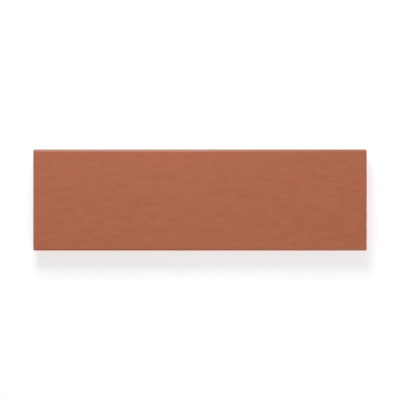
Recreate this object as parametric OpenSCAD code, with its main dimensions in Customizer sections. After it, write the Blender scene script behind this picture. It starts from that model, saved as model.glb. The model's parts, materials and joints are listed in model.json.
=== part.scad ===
// Extruded ceramic cladding tile, one fired piece.
//
// A clay column is pressed through a die along X, which gives the flat face, the
// rounded long arrises and the dovetail grooves of the back. It is then cut to
// length and fired. The tile lies on its back: X runs along the course, Y up the
// wall, Z out of the wall. The origin is the middle of the plane of the rib crests.

/* [Tile] */
// Length of the tile along the course
tile_length = 240; // [100:1:400]
// Height of the tile up the wall
tile_height = 73; // [45:1:150]
// Thickness from the rib crests to the face
tile_thickness = 14; // [9:0.5:25]

/* [Edges] */
// Radius that the die gives the two long arrises of the face
long_arris_radius = 2; // [0.4:0.1:3]
// Radius brushed onto the face's arrises at the two cut ends
end_arris_radius = 1; // [0.3:0.1:2.5]
// Radius of the two long corners at the back
back_corner_radius = 0.8; // [0.2:0.1:2]

/* [Back grooves] */
// Depth of the dovetail grooves that the mortar grips
groove_depth = 3; // [1.5:0.1:5]
// Width of a groove at its mouth, between two rib crests
groove_mouth = 5; // [3:0.1:6]
// How far each side of a groove runs in under its rib
groove_undercut = 1; // [0.2:0.1:1.5]
// Radius in the two floor corners of a groove
groove_floor_radius = 0.6; // [0.2:0.1:1]
// Distance from one groove to the next
groove_pitch = 11; // [10:0.5:20]
// Least width of the plain land between a long edge and the first groove
edge_land = 6; // [4:0.5:12]

/* [Hidden] */
$fn = 48;

// How far a cutting shape runs past the clay that it cuts
overcut = 1;

// Grooves that fit between the two edge lands, set evenly about the middle
groove_span = tile_height - 2 * edge_land - groove_mouth;
groove_count = floor(groove_span / groove_pitch) + 1;
first_groove = -(groove_count - 1) * groove_pitch / 2;

// Angle between a groove's floor and its flank, under 90 degrees in a dovetail
flank_angle = atan2(groove_depth, groove_undercut);

// A rectangle standing on the axis, with its upper and lower corners rounded
module rounded_slab(width, height, upper_radius, lower_radius) {
    half = width / 2;
    polygon([
        [-half, lower_radius],
        [-half + lower_radius, 0],
        [half - lower_radius, 0],
        [half, lower_radius],
        [half, height - upper_radius],
        [half - upper_radius, height],
        [-half + upper_radius, height],
        [-half, height - upper_radius]
    ]);
    for (side = [-1, 1]) {
        translate([side * (half - upper_radius), height - upper_radius])
            circle(r = upper_radius);
        translate([side * (half - lower_radius), lower_radius])
            circle(r = lower_radius);
    }
}

// One dovetail groove, open downwards, with its mouth on the axis
module groove() {
    half_mouth = groove_mouth / 2;
    half_floor = half_mouth + groove_undercut;
    corner_reach = groove_floor_radius / tan(flank_angle / 2);
    on_flank = [
        half_floor - corner_reach * cos(flank_angle),
        groove_depth - corner_reach * sin(flank_angle)
    ];
    on_floor = [half_floor - corner_reach, groove_depth];

    translate([-half_mouth, -overcut])
        square([groove_mouth, overcut]);
    polygon([
        [half_mouth, 0],
        on_flank,
        on_floor,
        [-on_floor[0], on_floor[1]],
        [-on_flank[0], on_flank[1]],
        [-half_mouth, 0]
    ]);
    for (side = [-1, 1])
        translate([side * on_floor[0], groove_depth - groove_floor_radius])
            circle(r = groove_floor_radius);
}

// The clay column's section, as the die shapes it
module column_section() {
    difference() {
        rounded_slab(tile_height, tile_thickness, long_arris_radius, back_corner_radius);
        for (i = [0 : groove_count - 1])
            translate([first_groove + i * groove_pitch, 0])
                groove();
    }
}

// The tile seen from its long side: square cuts, with the face's arrises brushed
module cut_length() {
    half = tile_length / 2;
    polygon([
        [-half, -overcut],
        [half, -overcut],
        [half, tile_thickness - end_arris_radius],
        [half - end_arris_radius, tile_thickness],
        [-half + end_arris_radius, tile_thickness],
        [-half, tile_thickness - end_arris_radius]
    ]);
    for (side = [-1, 1])
        translate([side * (half - end_arris_radius), tile_thickness - end_arris_radius])
            circle(r = end_arris_radius);
}

module cladding_tile() {
    color("#A9624A")
        intersection() {
            rotate([90, 0, 90])
                linear_extrude(height = tile_length + 2 * overcut, center = true)
                    column_section();
            rotate([90, 0, 0])
                linear_extrude(height = tile_height + 2 * overcut, center = true)
                    cut_length();
        }
}

cladding_tile();
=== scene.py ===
"""The fired clay of an extruded cladding tile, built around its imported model.

The die's section is drawn out along the tile and rubbed round at the two cut ends. The
surface then sinks a little below its true size, and never stands above it: a leathery
skin where the die smoothed the clay, drag lines where the wire cut it, and torn clay on
the ribs and in the grooves of the back.
"""

import json
import math

import bpy
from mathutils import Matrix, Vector, noise
from mathutils.geometry import delaunay_2d_cdt


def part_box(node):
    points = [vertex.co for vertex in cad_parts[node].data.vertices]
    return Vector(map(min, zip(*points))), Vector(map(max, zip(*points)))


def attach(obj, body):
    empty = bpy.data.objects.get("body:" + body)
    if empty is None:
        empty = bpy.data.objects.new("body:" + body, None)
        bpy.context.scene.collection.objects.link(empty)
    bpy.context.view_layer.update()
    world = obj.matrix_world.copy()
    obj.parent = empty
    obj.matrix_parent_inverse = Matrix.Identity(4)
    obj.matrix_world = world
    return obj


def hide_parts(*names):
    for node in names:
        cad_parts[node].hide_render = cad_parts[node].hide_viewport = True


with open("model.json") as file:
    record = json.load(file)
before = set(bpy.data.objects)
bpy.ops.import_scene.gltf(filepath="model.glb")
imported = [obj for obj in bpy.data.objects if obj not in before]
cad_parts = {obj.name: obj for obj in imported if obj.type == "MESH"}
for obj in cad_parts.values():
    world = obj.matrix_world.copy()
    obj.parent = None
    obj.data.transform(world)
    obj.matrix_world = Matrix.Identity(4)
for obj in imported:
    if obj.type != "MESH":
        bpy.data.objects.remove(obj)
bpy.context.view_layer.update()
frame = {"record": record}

# The tile is worked out in millimetres, and its mesh is written in metres
MM = 0.001

# The die's section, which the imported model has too
LONG_ARRIS = 2.0
BACK_CORNER = 0.8
GROOVE_MOUTH = 5.0
GROOVE_FLOOR = 7.0
GROOVE_DEPTH = 3.0
GROOVE_FLOOR_CORNER = 0.6
# The die wears round where it forms the edges of the ribs
RIB_EDGE = 0.35

# The cut ends: the face's arris is brushed, and the other edges of the cut are only rubbed
END_ARRIS = 1.0
RUBBED_EDGE = 0.3
# How far below the face the brushing starts to fade, and over what height it goes
BRUSH_DEPTH = 1.5
BRUSH_FADE = 3.5

# How far up the sides the back's relief fades, lowest and highest, and the share of it
# over which a facet has the back's finish
BACK_FADE = (0.2, 2.0)
BACK_FINISH_OVER = 0.5
# Parts of the outward direction, from 0 to 1: the arrises are pressed where both its parts
# are over the first, and the dimples start where it leans upwards by the second
ARRIS_LEAN = 0.25
DIMPLED_LEAN = 0.3

# Lengths of the mesh's facets: along the tile, across the skin and the back, and round a
# corner of the section. The rows are those that round the edge of a cut.
ALONG_STEP = 1.0
SKIN_STEP = 0.6
BACK_STEP = 1.5
CORNER_STEP = 0.4
END_ROWS = 4

# How the cut is filled: with facets inside its edges only, and with points that are nearer
# than this counted as one
FACES_INSIDE = 1
SAME_POINT = 1e-6

# Gap between the pieces of the unrolled map
MAP_GAP = 2.0

# Finishes of the clay, in the order of the mesh's materials
SKIN, CUT, BACK = range(3)


def smoothly(value, low, high):
    """0 up to low, 1 from high, and a smooth rise between them."""
    share = min(1.0, max(0.0, (value - low) / (high - low)))
    return share * share * (3 - 2 * share)


# The die's section: (y, z) points in a loop, anticlockwise seen from +X


def groove_corners(centre):
    """The corners of one dovetail groove and their radii, from its low side to its high one."""
    return [
        (centre - GROOVE_MOUTH / 2, 0, RIB_EDGE),
        (centre - GROOVE_FLOOR / 2, GROOVE_DEPTH, GROOVE_FLOOR_CORNER),
        (centre + GROOVE_FLOOR / 2, GROOVE_DEPTH, GROOVE_FLOOR_CORNER),
        (centre + GROOVE_MOUTH / 2, 0, RIB_EDGE),
    ]


def section_corners(height, thickness, grooves):
    """The corners of the section and their radii, from the middle of the centre rib."""
    half = height / 2
    outside = [
        (half, 0, BACK_CORNER),
        (half, thickness, LONG_ARRIS),
        (-half, thickness, LONG_ARRIS),
        (-half, 0, BACK_CORNER),
    ]
    upper = [corner for y in grooves if y > 0 for corner in groove_corners(y)]
    lower = [corner for y in grooves if y < 0 for corner in groove_corners(y)]
    return [(0, 0, 0)] + upper + outside + lower


def turned(vector, angle):
    """A section vector turned anticlockwise."""
    c, s = math.cos(angle), math.sin(angle)
    return Vector((vector.x * c - vector.y * s, vector.x * s + vector.y * c))


def rounded(before, corner, after):
    """The points round one corner of the section, each with its outward direction."""
    y, z, radius = corner
    place = Vector((y, z))
    comes = (place - Vector(before[:2])).normalized()
    goes = (Vector(after[:2]) - place).normalized()
    outward = turned(comes, -math.pi / 2)
    turn = math.atan2(comes.cross(goes), comes.dot(goes))
    if turn == 0:
        return [(place, outward)]
    side = math.copysign(1, turn)
    centre = place - comes * radius * math.tan(abs(turn) / 2) - outward * radius * side
    steps = max(2, math.ceil(radius * abs(turn) / CORNER_STEP))
    arms = [turned(outward, turn * k / steps) for k in range(steps + 1)]
    return [(centre + arm * radius * side, arm) for arm in arms]


def section(height, thickness, grooves):
    """The points of the section in a loop, each with its outward direction."""
    corners = section_corners(height, thickness, grooves)
    points = []
    for k, corner in enumerate(corners):
        after = corners[(k + 1) % len(corners)]
        points += rounded(corners[k - 1], corner, after)
        place, outward = points[-1]
        end = rounded(corner, after, corners[(k + 2) % len(corners)])[0][0]
        on_back = max(place.y, end.y) < thickness / 2
        steps = max(1, round((end - place).length / (BACK_STEP if on_back else SKIN_STEP)))
        points += [(place.lerp(end, n / steps), outward) for n in range(1, steps)]
    return points


# Relief of the surface: how far the clay lies below its true surface, in millimetres. Each
# list holds the size of its grains of noise along x, y and z, and their depth.

# Stiff clay drags along the die in slow waves, and dimples like leather
DRYING_WAVES = [((90, 40, 40), 0.06)]
DIMPLES = [((6.5, 3, 3), 0.14), ((3.2, 1.8, 1.8), 0.12)]
# The wire wavers, and drags grit down the cut behind it
WIRE_LINES = [((40, 16, 9), 0.06), ((40, 1.4, 12), 0.10)]
# The die's fingers drag the clay of the ribs and grooves along the tile
FINGER_LINES = [((25, 1.8, 1.8), 0.08)]

# Pits torn out by the wire, and out of the ribs and grooves: the size of their grains in
# millimetres, how rare they are from 0 to 1, and how steeply they deepen
WIRE_TEARS = ((40, 1.7, 3.2), 0.64, 0.8)
BACK_TEARS = ((3.8, 2.2, 2.2), 0.6, 0.9)

# Noise is flat in the planes of its own grid, so the tile's faces are kept off them
OFF_GRID = 0.37

# The dimples are full on the face, and this share of them is left on its arrises and sides
SIDE_DIMPLES = 0.2
# The die's corners press this share of the relief out of the long arrises
PRESSED_OUT = 0.85


def grain(place, size):
    """Noise from 0 to 1, with grains of this size along x, y and z."""
    return 0.5 + 0.5 * noise.noise(Vector([p / s + OFF_GRID for p, s in zip(place, size)]))


def relief(place, grains):
    """The depth that these grains have together at this place."""
    return sum(depth * grain(place, size) for size, depth in grains)


def torn(place, size, rarity, steepness):
    """Depth of the pits that are torn out of the clay, which are rarer near a rarity of 1."""
    return steepness * max(0.0, grain(place, size) - rarity)


def skin_depth(place, dimpled, pressed):
    """Skin that the die smoothed: dimpled this strongly, and pressed smooth this much."""
    level = sum(depth for _, depth in DIMPLES) / 2
    dimples = level + (1 - PRESSED_OUT * pressed) * (relief(place, DIMPLES) - level)
    return relief(place, DRYING_WAVES) + dimpled * dimples


def cut_depth(place):
    """Clay that the wire cut."""
    return relief(place, WIRE_LINES) + torn(place, *WIRE_TEARS)


def back_depth(place):
    """The ribs and the grooves."""
    return relief(place, FINGER_LINES) + torn(place, *BACK_TEARS)


# The tile's mesh


def back_share(point, height):
    """1 on the ribs and in the grooves, 0 on the skin, and smooth round the back's corners."""
    y, z = point
    if abs(y) < height / 2 - BACK_CORNER and z <= GROOVE_DEPTH:
        return 1.0
    return 1 - smoothly(z, *BACK_FADE)


def burnished(row, outward):
    """1 on the long arrises of the face, which the die's corners press smooth, 0 elsewhere."""
    leans = smoothly(abs(outward.x), 0.0, ARRIS_LEAN) * smoothly(outward.y, 0.0, ARRIS_LEAN)
    return leans * math.cos(row[1])


def dimple_share(outward):
    """1 on the face, and less on its arrises and on the sides."""
    return SIDE_DIMPLES + (1 - SIDE_DIMPLES) * smoothly(outward.y, DIMPLED_LEAN, 1.0)


def edge_radius(point, thickness):
    """Radius of the cut's edge at this point of the section."""
    below_face = thickness - point[1]
    faded = smoothly(below_face, BRUSH_DEPTH, BRUSH_DEPTH + BRUSH_FADE)
    return END_ARRIS + (RUBBED_EDGE - END_ARRIS) * faded


def rows_along(length):
    """The rows of the mesh along the tile, each as a place from -1 to 1 and an end angle.

    The angle is 0 all along the tile, and goes to 90 degrees in the few rows that round
    the edge of each cut.
    """
    steps = round(length / ALONG_STEP)
    straight = [(2 * k / steps - 1, 0.0) for k in range(steps + 1)]
    angles = [math.pi / 2 * (k + 1) / END_ROWS for k in range(END_ROWS)]
    return [(-1.0, a) for a in reversed(angles)] + straight + [(1.0, a) for a in angles]


def skin_point(row, point, outward, size):
    """One point of the mesh, off the cuts: its place, sunk by the relief of its finish."""
    along, angle = row
    length, height, thickness = size
    radius = edge_radius(point, thickness)
    on_cut = math.sin(angle)
    y, z = point - outward * radius * (1 - math.cos(angle))
    place = Vector((along * (length / 2 - radius * (1 - on_cut)), y, z))
    way = Vector((along * on_cut, *(outward * math.cos(angle))))
    back = back_share(point, height)
    skin = skin_depth(place, dimple_share(outward), burnished(row, outward))
    depth = (1 - back) * skin + back * back_depth(place)
    depth += on_cut * (cut_depth(place) - depth)
    return place - way * depth


def in_clay(y, z, size, grooves):
    """Whether a point of the cut lies in the clay, clear of every edge."""
    _, height, thickness = size
    clear = END_ARRIS + SKIN_STEP / 2
    if abs(y) > height / 2 - clear or not SKIN_STEP < z < thickness - clear:
        return False
    rise = min(1.0, z / GROOVE_DEPTH)
    flank = (GROOVE_MOUTH + (GROOVE_FLOOR - GROOVE_MOUTH) * rise) / 2 + SKIN_STEP
    over_floor = z > GROOVE_DEPTH + SKIN_STEP
    return over_floor or all(abs(y - centre) > flank for centre in grooves)


def cut_points(size, grooves):
    """Points across the inside of a cut, in staggered lines."""
    _, height, thickness = size
    line_gap = SKIN_STEP * math.sqrt(3) / 2
    found = []
    for line in range(int(thickness / line_gap)):
        shift = SKIN_STEP / 2 * (line % 2)
        for k in range(int(height / SKIN_STEP)):
            y = k * SKIN_STEP + shift - height / 2
            z = line * line_gap
            if in_clay(y, z, size, grooves):
                found.append(Vector((y, z)))
    return found


def map_places(rows, outline, size):
    """Where each row lies across the unrolled map, and each point of the section up it."""
    length = size[0]
    across = [a * (length / 2 + END_ARRIS * (angle - 1)) + length / 2 for a, angle in rows]
    up = [0.0]
    for k, (point, _) in enumerate(outline):
        after = outline[(k + 1) % len(outline)][0]
        up.append(up[-1] + (after - point).length)
    return across, up


def drawn_faces(rows, outline, size, across, up):
    """The faces along the tile, each as its points, its corners on the map and its finish."""
    round_it = len(outline)
    found = []
    for row in range(len(rows) - 1):
        left, right = across[row], across[row + 1]
        for k in range(round_it):
            here = row * round_it + k
            beside = row * round_it + (k + 1) % round_it
            corners = (here, beside, beside + round_it, here + round_it)
            places = [(left, up[k]), (left, up[k + 1]), (right, up[k + 1]), (right, up[k])]
            middle = (outline[k][0] + outline[(k + 1) % round_it][0]) / 2
            finish = BACK if back_share(middle, size[1]) > BACK_FINISH_OVER else SKIN
            found.append((corners, places, finish))
    return found


def cut_faces(end, rim_start, inside_start, round_it, filling, corner):
    """The faces of one cut, whose rim and inside start at these points of the mesh.

    The cut's own map is put down at this corner of the tile's.
    """
    flat, _, triangles, sources = filling[:4]
    found = []
    for triangle in triangles:
        turned_out = list(triangle if end > 0 else reversed(triangle))
        ids = [sources[c][0] for c in turned_out]
        corners = [rim_start + i if i < round_it else inside_start + i - round_it for i in ids]
        places = [(corner[0] + flat[c].x, corner[1] + flat[c].y) for c in turned_out]
        found.append((corners, places, CUT))
    return found


def tile_mesh(name, size, grooves):
    """The whole tile as one closed mesh, with a map that unrolls it onto a square."""
    length, height, thickness = size
    outline = section(height, thickness, grooves)
    rows = rows_along(length)
    round_it = len(outline)
    points = [skin_point(row, *spot, size) for row in rows for spot in outline]
    across, up = map_places(rows, outline, size)
    faces = drawn_faces(rows, outline, size, across, up)

    rim = [point - outward * edge_radius(point, thickness) for point, outward in outline]
    edges = [(k, (k + 1) % round_it) for k in range(round_it)]
    inside = cut_points(size, grooves)
    filling = delaunay_2d_cdt(rim + inside, edges, [], FACES_INSIDE, SAME_POINT)
    for end, last_row in ((-1, 0), (1, len(rows) - 1)):
        corner = ((height + MAP_GAP) * (end > 0) + height / 2, up[-1] + MAP_GAP)
        rim_start = last_row * round_it
        faces += cut_faces(end, rim_start, len(points), round_it, filling, corner)
        for point in inside:
            place = Vector((end * length / 2, *point))
            place.x -= end * cut_depth(place)
            points.append(place)

    mesh = bpy.data.meshes.new(name)
    mesh.from_pydata([p * MM for p in points], [], [corners for corners, _, _ in faces])
    mesh.polygons.foreach_set("material_index", [finish for _, _, finish in faces])
    mesh.shade_smooth()

    pressed = [burnished(row, outward) for row in rows for _, outward in outline]
    pressed += [0.0] * (len(points) - len(pressed))
    mesh.attributes.new("burnished", "FLOAT", "POINT").data.foreach_set("value", pressed)

    on_map = [place for _, places, _ in faces for place in places]
    side = max(max(place) for place in on_map) + MAP_GAP
    unrolled = mesh.uv_layers.new(name="OFBake")
    unrolled.uv.foreach_set("vector", [c / side for place in on_map for c in place])
    return mesh


# Finishes of the clay: iron-rich clay fired hard and left unglazed, which is matt, dense and
# evenly red-brown, with a fine sandy grain

# The body's darker and lighter tones, and its grit of iron spots and of grog, which is fired
# clay crushed to sand
CLAY_DARK = "#A35C3E"
CLAY_LIGHT = "#C06E4A"
IRON_SPOT = "#5A2A1C"
GROG = "#C98F6C"

# Fired clay reflects as common minerals do
CLAY_IOR = 1.5
CLAY_GLOSS = 0.5
# Roughness where the die's corners pressed the clay smooth, and how far that of the rest
# varies with its tone
BURNISHED = 0.42
VARIED = 0.06
# Its pores scatter light inside, so it looks flat rather than round under a lamp
CLAY_FLATNESS = 0.6

# A grain of tone or of fine relief carries finer ones this many times over, each half as
# wide as the last. The finest sizes, of 0.4 to 0.8 mm, are drawn coarser than the real grain
# of the clay, so that they show.
FINER_GRAINS = 2.0

# The grit's spacing and its widest, in millimetres, and the share of places without any.
# Real grit is 0.1 to 0.5 mm wide, and it is drawn a little wider, so that it shows.
GRIT_SPACING = 2.2
GRIT_WIDEST = 0.8
GRIT_RARITY = 0.5


def linear(hex_colour):
    """An sRGB hex colour as linear red, green, blue and alpha."""
    levels = [int(hex_colour[k : k + 2], 16) / 255 for k in (1, 3, 5)]
    return [v / 12.92 if v <= 0.04045 else ((v + 0.055) / 1.055) ** 2.4 for v in levels] + [1.0]


def add(tree, kind, inputs=None, **settings):
    """Adds a node with its settings, and sets or links its inputs."""
    node = tree.nodes.new(kind)
    for name, value in settings.items():
        setattr(node, name, value)
    for name, value in (inputs or {}).items():
        if isinstance(value, bpy.types.NodeSocket):
            tree.links.new(value, node.inputs[name])
        else:
            node.inputs[name].default_value = value
    return node


def clay_grain(tree, place, size):
    """Noise from 0 to 1, with grains of this size in millimetres along x, y and z."""
    per_grain = [1 / s for s in size]
    grains = add(
        tree,
        "ShaderNodeVectorMath",
        {0: place, 1: per_grain, 2: [OFF_GRID] * 3},
        operation="MULTIPLY_ADD",
    ).outputs[0]
    noise_in = {"Vector": grains, "Scale": 1.0, "Detail": FINER_GRAINS}
    return add(tree, "ShaderNodeTexNoise", noise_in).outputs["Fac"]


def blended(tree, place, grains):
    """Grains of these sizes and weights together, as a pattern about a half."""
    total = 0.5 - sum(weight for _, weight in grains) / 2
    for size, weight in grains:
        parts = {0: clay_grain(tree, place, size), 1: weight, 2: total}
        total = add(tree, "ShaderNodeMath", parts, operation="MULTIPLY_ADD").outputs[0]
    return total


def mixed(tree, share, first, second):
    """A colour that goes from the first to the second with this share."""
    colours = {"Factor": share, 6: first, 7: second}
    return add(tree, "ShaderNodeMix", colours, data_type="RGBA").outputs[2]


def grit(tree, place):
    """1 in small round grains of grit and 0 between them, and the colour of each grain."""
    per_cell = [1 / GRIT_SPACING] * 3
    scaled = {0: place, 1: per_cell}
    cells = add(tree, "ShaderNodeVectorMath", scaled, operation="MULTIPLY").outputs[0]
    spots = add(tree, "ShaderNodeTexVoronoi", {"Vector": cells, "Scale": 1.0})
    chance = add(tree, "ShaderNodeSeparateColor", {"Color": spots.outputs["Color"]})
    sizes = {
        "Value": chance.outputs["Red"],
        "From Min": GRIT_RARITY,
        "To Max": GRIT_WIDEST / 2 / GRIT_SPACING,
    }
    radius = add(tree, "ShaderNodeMapRange", sizes).outputs[0]
    reach = {0: spots.outputs["Distance"], 1: radius}
    inside = add(tree, "ShaderNodeMath", reach, operation="LESS_THAN").outputs[0]
    return inside, mixed(tree, chance.outputs["Green"], linear(IRON_SPOT), linear(GROG))


def fired_clay(name, roughness, tones, grit_shows, heights, depth):
    """The fired clay with one of its finishes.

    Tones and heights are sizes of grains in millimetres and their weights, for the clay's
    colour and for its fine relief, which is this deep in millimetres. The grit shows this
    strongly.
    """
    material = bpy.data.materials.new(name)
    material.use_nodes = True
    tree = material.node_tree
    shader = tree.nodes["Principled BSDF"]
    shader.inputs["IOR"].default_value = CLAY_IOR
    shader.inputs["Specular IOR Level"].default_value = CLAY_GLOSS
    shader.inputs["Diffuse Roughness"].default_value = CLAY_FLATNESS

    where = {0: add(tree, "ShaderNodeTexCoord").outputs["Object"], "Scale": 1 / MM}
    place = add(tree, "ShaderNodeVectorMath", where, operation="SCALE").outputs[0]

    tone = blended(tree, place, tones)
    body = mixed(tree, tone, linear(CLAY_DARK), linear(CLAY_LIGHT))
    inside, grit_colour = grit(tree, place)
    strength = {0: inside, 1: grit_shows}
    shown = add(tree, "ShaderNodeMath", strength, operation="MULTIPLY").outputs[0]
    tree.links.new(mixed(tree, shown, body, grit_colour), shader.inputs["Base Color"])

    pressed = add(tree, "ShaderNodeAttribute", attribute_name="burnished").outputs["Fac"]
    left = {"Value": pressed, "To Min": 1.0, "To Max": 1 - PRESSED_OUT}
    bumps = {
        "Height": blended(tree, place, heights),
        "Distance": depth * MM,
        "Strength": add(tree, "ShaderNodeMapRange", left).outputs[0],
    }
    bump = add(tree, "ShaderNodeBump", bumps)
    tree.links.new(bump.outputs["Normal"], shader.inputs["Normal"])

    spread = {"Value": tone, "To Min": roughness + VARIED, "To Max": roughness - VARIED}
    dull = add(tree, "ShaderNodeMapRange", spread).outputs[0]
    smoothed = add(tree, "ShaderNodeMix", {"Factor": pressed, "A": dull, "B": BURNISHED})
    tree.links.new(smoothed.outputs[0], shader.inputs["Roughness"])
    return material


def die_smoothed_clay():
    """The skin, which slid through the die: silky matt, with tones drawn out along the tile."""
    return fired_clay(
        "die_smoothed_clay",
        roughness=0.7,
        tones=[
            ((45, 30, 30), 0.15),
            ((9, 2.8, 2.8), 0.6),
            ((1.2, 0.9, 0.9), 0.3),
            ((0.5, 0.4, 0.4), 0.5),
        ],
        grit_shows=0.35,
        heights=[((1.5, 1.0, 1.0), 0.4), ((0.5, 0.4, 0.4), 0.6)],
        depth=0.14,
    )


def wire_cut_clay():
    """The ends, which a wire cut: duller, with the grit dragged down the cut in fine lines."""
    return fired_clay(
        "wire_cut_clay",
        roughness=0.78,
        tones=[
            ((20, 12, 12), 0.3),
            ((30, 0.8, 7), 0.5),
            ((0.8, 0.8, 0.8), 0.5),
            ((0.4, 0.4, 0.4), 0.5),
        ],
        grit_shows=0.7,
        heights=[((30, 0.7, 8), 0.5), ((0.6, 0.5, 0.8), 0.5)],
        depth=0.3,
    )


def dragged_clay():
    """The back, which the die's fingers dragged: dull, with coarse lines along the tile."""
    return fired_clay(
        "dragged_clay",
        roughness=0.75,
        tones=[
            ((25, 12, 12), 0.3),
            ((20, 1.2, 1.2), 0.5),
            ((0.8, 0.8, 0.8), 0.5),
            ((0.4, 0.4, 0.4), 0.5),
        ],
        grit_shows=0.6,
        heights=[((9, 1.1, 1.1), 0.5), ((0.6, 0.5, 0.5), 0.5)],
        depth=0.25,
    )


# Studio: a large softbox beyond the tile's upper edge, a weak one in front, and white all
# round. Places are in metres, and shares of the light on a surface that faces up.

KEY_PLACE = (-0.1, 0.55, 0.42)
KEY_WIDTH = 0.33
KEY_SHARE = 0.52
FRONT_PLACE = (0.4, -0.8, 0.6)
FRONT_WIDTH = 0.5
FRONT_SHARE = 0.15
WORLD_SHARE = 1 - KEY_SHARE - FRONT_SHARE

WHITE = "#FFFFFF"
# How the floor lights the tile from below, and how it is seen: its shadows show on a grey
# that a glow lifts to white, and fade out between these distances from the tile's middle
FLOOR_CARD = "#EBEBEB"
FLOOR_GREY = "#BCBCBC"
FLOOR_GLOW = 0.6
SHADOWS_FADE = 0.17
SHADOWS_END = 0.3
FLOOR_REACH = 3.0

# The tile's share of the picture's width, and the camera's lens and sensor in millimetres
TILE_SHARE = 0.835
LENS = 100
SENSOR = 36


def softbox(name, place, width, share):
    """A square lamp aimed at the tile, which gives white clay facing up this share of white."""
    at = Vector(place)
    lamp = bpy.data.lights.new(name, "AREA")
    lamp.size = width
    lamp.energy = share * math.pi**2 * at.length**3 / at.z
    holder = bpy.data.objects.new(name, lamp)
    holder.location = at
    holder.rotation_mode = "QUATERNION"
    holder.rotation_quaternion = at.to_track_quat("Z", "Y")
    holder.visible_camera = False
    bpy.context.scene.collection.objects.link(holder)


def seen_directly(tree):
    """1 for what the camera sees by itself, in a reflection or through glass, 0 for light."""
    path = add(tree, "ShaderNodeLightPath").outputs
    seen = 0.0
    for ray in ("Is Camera Ray", "Is Glossy Ray", "Is Transmission Ray"):
        either = {0: seen, 1: path[ray]}
        seen = add(tree, "ShaderNodeMath", either, operation="MAXIMUM").outputs[0]
    return seen


def white_world():
    """Even light from all round, which shows as plain white."""
    world = bpy.data.worlds.new("white_studio")
    world.use_nodes = True
    tree = world.node_tree
    sky = tree.nodes["Background"]
    sky.inputs["Color"].default_value = linear(WHITE)
    strength = {"Value": seen_directly(tree), "To Min": WORLD_SHARE, "To Max": 1.0}
    lit = add(tree, "ShaderNodeMapRange", strength)
    tree.links.new(lit.outputs[0], sky.inputs["Strength"])
    return world


def white_floor():
    """A white card that keeps the tile's shadow and shows as plain white further out."""
    material = bpy.data.materials.new("white_floor")
    material.use_nodes = True
    tree = material.node_tree
    tree.nodes.remove(tree.nodes["Principled BSDF"])
    card = add(tree, "ShaderNodeBsdfDiffuse", {"Color": linear(FLOOR_CARD)}).outputs[0]
    grey = add(tree, "ShaderNodeBsdfDiffuse", {"Color": linear(FLOOR_GREY)}).outputs[0]
    white = linear(WHITE)
    glow = add(tree, "ShaderNodeEmission", {"Color": white, "Strength": FLOOR_GLOW}).outputs[0]
    plain = add(tree, "ShaderNodeEmission", {"Color": white, "Strength": 1.0}).outputs[0]
    near = add(tree, "ShaderNodeAddShader", {0: grey, 1: glow}).outputs[0]

    place = {0: add(tree, "ShaderNodeTexCoord").outputs["Object"]}
    away = add(tree, "ShaderNodeVectorMath", place, operation="LENGTH").outputs["Value"]
    reach = {"Value": away, "From Min": SHADOWS_FADE, "From Max": SHADOWS_END}
    fade = add(tree, "ShaderNodeMapRange", reach, interpolation_type="SMOOTHSTEP").outputs[0]
    seen = add(tree, "ShaderNodeMixShader", {0: fade, 1: near, 2: plain}).outputs[0]
    floor = add(tree, "ShaderNodeMixShader", {0: seen_directly(tree), 1: card, 2: seen})
    tree.links.new(floor.outputs[0], tree.nodes["Material Output"].inputs["Surface"])
    return material


def floor_card():
    """The studio's floor, which isn't part of the tile."""
    mesh = bpy.data.meshes.new("floor")
    corners = [(-1, -1), (1, -1), (1, 1), (-1, 1)]
    mesh.from_pydata([(x * FLOOR_REACH, y * FLOOR_REACH, 0) for x, y in corners], [], [range(4)])
    mesh.materials.append(white_floor())
    return bpy.data.objects.new("floor", mesh)


def camera_above(length, face_height):
    """A camera straight above the face, with the upper edge of the tile at the top."""
    lens = bpy.data.cameras.new("camera")
    lens.lens = LENS
    lens.sensor_width = SENSOR
    camera = bpy.data.objects.new("camera", lens)
    camera.location = (0, 0, face_height + length / TILE_SHARE * LENS / SENSOR)
    return camera


# The tile

low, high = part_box("cladding_tile")
tile_size = [side / MM for side in high - low]
grooves = [opening["box_m"] for opening in frame["record"]["physics"]["openings"]]
groove_centres = [(box[0][1] + box[1][1]) / 2 / MM for box in grooves]

clay = tile_mesh("cladding_tile_clay", tile_size, groove_centres)
for finish in (die_smoothed_clay(), wire_cut_clay(), dragged_clay()):
    clay.materials.append(finish)
tile = bpy.data.objects.new("cladding_tile_clay", clay)
scene = bpy.context.scene
scene.collection.objects.link(tile)
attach(tile, "root")
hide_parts("cladding_tile")

# The picture of it

softbox("soft_key", KEY_PLACE, KEY_WIDTH, KEY_SHARE)
softbox("soft_front", FRONT_PLACE, FRONT_WIDTH, FRONT_SHARE)
scene.world = white_world()
floor = floor_card()
scene.collection.objects.link(floor)
scene.camera = camera_above(high.x - low.x, high.z)
scene.collection.objects.link(scene.camera)
scene.view_settings.view_transform = "Standard"
